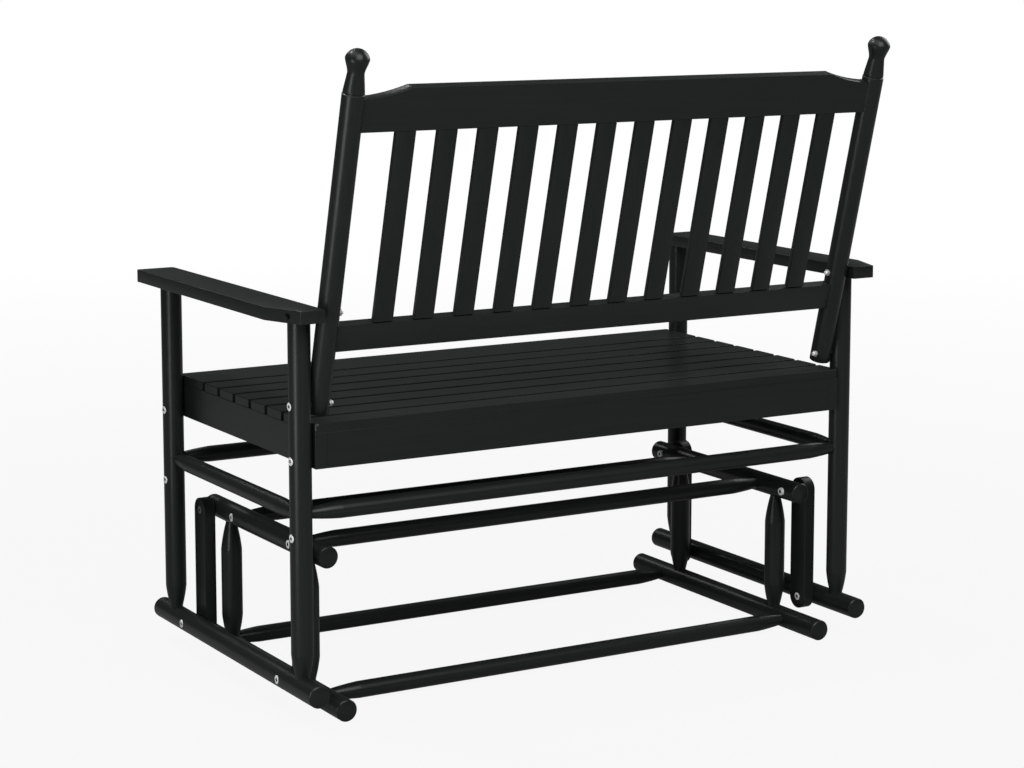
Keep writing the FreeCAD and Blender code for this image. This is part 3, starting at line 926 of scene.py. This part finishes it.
# the sawn boards that stay as packed get eased edges
boardLook = {"weld": 0.00001, "flat": 1, "segments": 2, "angle": 50}
for name, cadNode in nodes.items():
    if name.startswith(("seat_", "back_top_rail", "back_bottom_rail")):
        weld = cadNode.modifiers.new("weld", "WELD")
        weld.merge_threshold = boardLook["weld"]
        flat = cadNode.modifiers.new("flat", "DECIMATE")
        flat.decimate_type = "DISSOLVE"
        flat.angle_limit = math.radians(boardLook["flat"])
        ease = cadNode.modifiers.new("ease", "BEVEL")
        ease.width = stock["softEdge"]
        ease.segments = boardLook["segments"]
        ease.limit_method = "ANGLE"
        ease.angle_limit = math.radians(boardLook["angle"])
print("boards eased")

floorLook = {"colour": (0.22, 0.22, 0.22, 1), "roughness": 0.9, "size": 400.0, "white": 0.91,
             "nearEdge": 1.2, "farEdge": 5.0, "inGloss": 0.08}
skyLook = {"colour": (0.93, 0.96, 1.0, 1), "strength": 0.045, "inGloss": 0.01}
plainWhite = (1, 1, 1, 1)


def whiteShare(finish, inGloss):
    # the eye and clear parts see plain white, gloss sees a small part of it
    eye = finish.node("ShaderNodeLightPath", out=0)
    gloss = finish.node("ShaderNodeLightPath", out=3)
    through = finish.node("ShaderNodeLightPath", out=6)
    return eye + through + gloss * inGloss


def makeFloor():
    look = floorLook
    clearSelection()
    bpy.ops.mesh.primitive_plane_add(size=look["size"], location=(0, 0, 0))
    floor = bpy.context.object
    floor.name = "floor"
    settle(floor)
    finish = Finish(bpy.data.materials.new("paleFloor"))
    finish.feed(finish.shader.inputs["Base Color"], look["colour"])
    finish.feed(finish.shader.inputs["Roughness"], look["roughness"])
    glow = finish.node("ShaderNodeEmission", Color=plainWhite, Strength=1.0)
    away = finish.node("ShaderNodeVectorMath", {"operation": "LENGTH"}, out=1, i0=finish.onObject())
    clear = finish.node(
        "ShaderNodeMapRange", Value=away, i1=look["nearEdge"], i2=look["farEdge"], i3=look["white"], i4=1.0)
    share = whiteShare(finish, look["inGloss"]) * clear
    mixed = finish.node("ShaderNodeMixShader", i0=share, i1=finish.own(), i2=glow)
    finish.feed(finish.tree.nodes["Material Output"].inputs[0], mixed)
    dress(floor, finish.material)


# azimuth and rise in degrees, seen from the middle of the bench; the strip stands
# near, so that the legs mirror it down to the floor
lampLook = {
    "key": {"azimuth": 20, "rise": 64, "far": 4.2, "wide": 3.2, "tall": 3.0, "power": 46},
    "fill": {"azimuth": 84, "rise": 40, "far": 4.6, "wide": 3.4, "tall": 3.0, "power": 172},
    "strip": {"azimuth": 22, "rise": 3, "far": 1.7, "wide": 0.42, "tall": 1.0, "power": 7},
    "back": {"azimuth": -83, "rise": 33, "far": 4.2, "wide": 0.9, "tall": 0.5, "power": 8},
    "shoulder": {"azimuth": -97, "rise": 48, "far": 4.2, "wide": 0.5, "tall": 0.4, "power": 10},
    "front": {"azimuth": -47, "rise": 57, "far": 4.4, "wide": 0.6, "tall": 0.6, "power": 62},
    "side": {"azimuth": 190, "rise": 30, "far": 4.4, "wide": 3.0, "tall": 2.6, "power": 86},
}
lampAim = Vector((0, 0, 0.45))


def softBox(name, look):
    # a soft rectangle of light that looks at the middle of the bench
    lamp = bpy.data.lights.new(name, "AREA")
    lamp.shape = "RECTANGLE"
    lamp.size, lamp.size_y = look["wide"], look["tall"]
    lamp.energy = look["power"]
    turn, rise = math.radians(look["azimuth"]), math.radians(look["rise"])
    away = Vector((math.cos(turn) * math.cos(rise), math.sin(turn) * math.cos(rise), math.sin(rise)))
    holder = bpy.data.objects.new(name, lamp)
    holder.location = lampAim + away * look["far"]
    holder.rotation_mode = "QUATERNION"
    holder.rotation_quaternion = (-away).to_track_quat("-Z", "Y")
    holder.visible_camera = False
    bpy.context.scene.collection.objects.link(holder)


def makeLights():
    world = bpy.data.worlds.new("studio")
    bpy.context.scene.world = world
    finish = Finish(world)
    finish.feed(finish.shader.inputs[0], skyLook["colour"])
    finish.feed(finish.shader.inputs[1], skyLook["strength"])
    clear = finish.node("ShaderNodeBackground", i0=plainWhite, i1=1.0)
    share = whiteShare(finish, skyLook["inGloss"])
    mixed = finish.node("ShaderNodeMixShader", i0=share, i1=finish.own(), i2=clear)
    finish.feed(finish.tree.nodes["World Output"].inputs[0], mixed)
    for name, look in lampLook.items():
        softBox(name + "Light", look)


cameraLook = {"at": (1.9751, 3.3826 + shift, 1.1006), "yaw": -149.664, "pitch": -7.616,
              "lens": 88.36, "sensor": 36, "shiftY": -0.1, "clip": 100}


def makeCamera():
    look = cameraLook
    lens = bpy.data.cameras.new("camera")
    lens.lens = look["lens"]
    lens.sensor_width = look["sensor"]
    lens.shift_y = look["shiftY"]
    lens.clip_end = look["clip"]
    camera = bpy.data.objects.new("camera", lens)
    camera.location = look["at"]
    camera.rotation_euler = (math.radians(90 + look["pitch"]), 0, math.radians(-look["yaw"]))
    bpy.context.scene.collection.objects.link(camera)
    bpy.context.scene.camera = camera


makeFloor()
makeLights()
makeCamera()
bpy.context.scene.view_settings.view_transform = "Standard"
print("floor, light and camera set")
